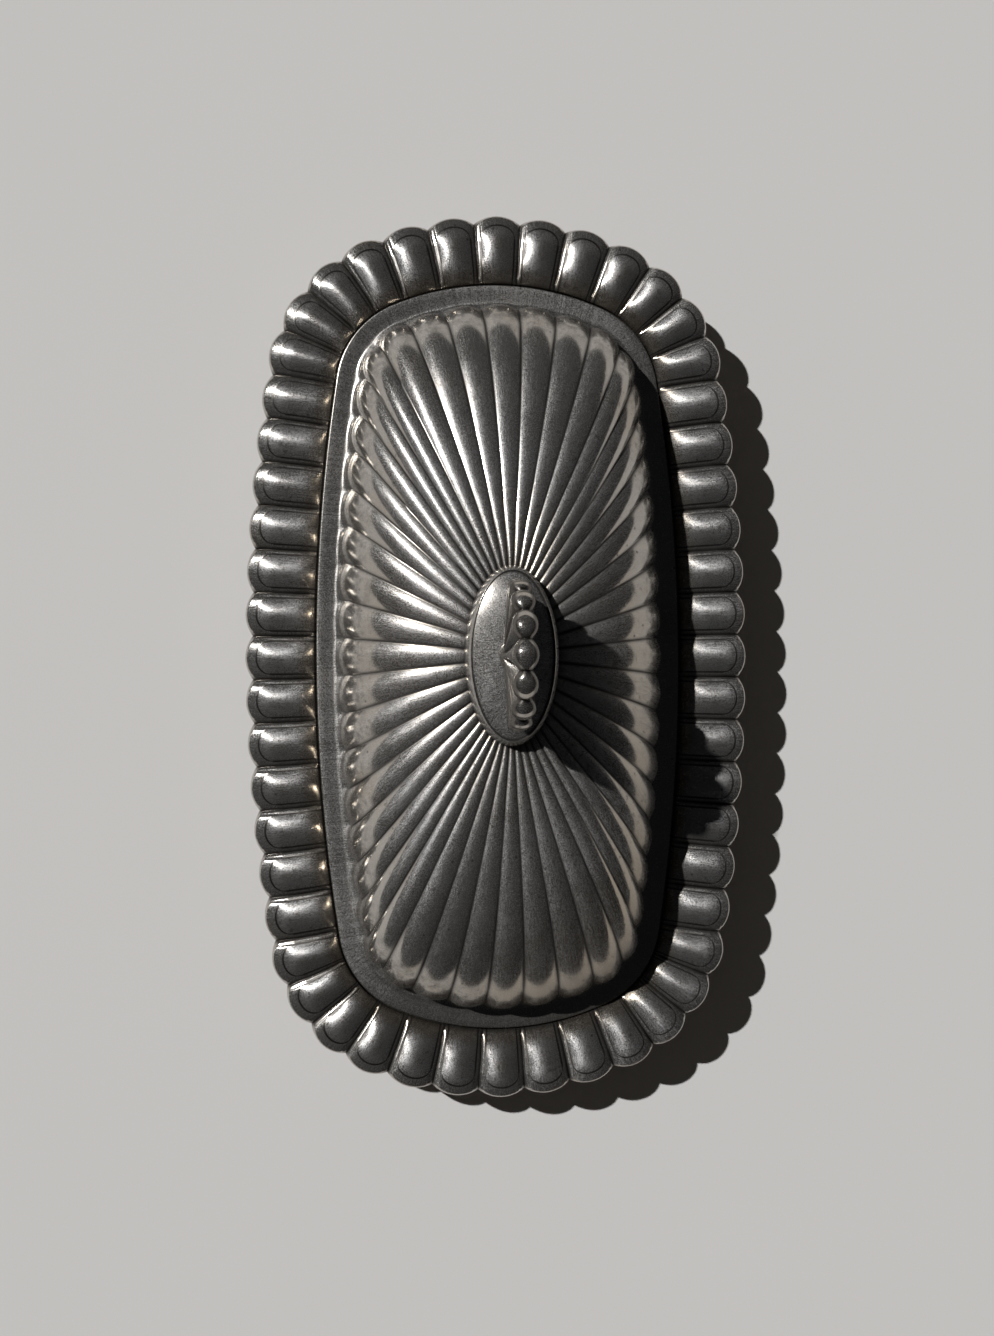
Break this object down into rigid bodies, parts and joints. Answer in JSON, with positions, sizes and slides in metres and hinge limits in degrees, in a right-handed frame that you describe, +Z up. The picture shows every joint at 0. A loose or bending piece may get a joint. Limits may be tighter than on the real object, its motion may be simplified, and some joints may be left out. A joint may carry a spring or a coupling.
{
  "type": "butter dish",
  "caption": "Oblong covered butter dish with a lobed tray, a loose glass liner and a fluted domed lid lifted by an upright scallop-shell finial.",
  "frame": {"origin": "centre of the tray's underside, on the table", "axes": "+Y along the dish's length, +X across its width, +Z up through the finial"},
  "size_m": [0.1196, 0.2096, 0.0766],
  "materials": {
    "tray_metal": "silver plate, polished, with dark patina in the hollows",
    "lid_metal": "silver plate, polished, with dark patina in the hollows",
    "finial_metal": "silver plate, polished, with dark patina in the hollows",
    "liner_glass": "clear pressed",
    "fastener_brass": "plain turned"
  },
  "bodies": {
    "tray": {"tray": "tray_metal"},
    "liner": {"liner": "liner_glass"},
    "lid": {"lid": "lid_metal", "finial_boss": "finial_metal", "shell_finial": "finial_metal", "finial_stud": "fastener_brass", "finial_washer": "fastener_brass", "finial_nut": "fastener_brass"}
  },
  "joints": [
    {"name": "lid_lift", "type": "slide", "parent": "tray", "child": "lid", "axis": [0, 0, 1], "range_m": [0, 0.1]},
    {"name": "liner_lift", "type": "slide", "parent": "tray", "child": "liner", "axis": [0, 0, 1], "range_m": [0, 0.003]}
  ]
}
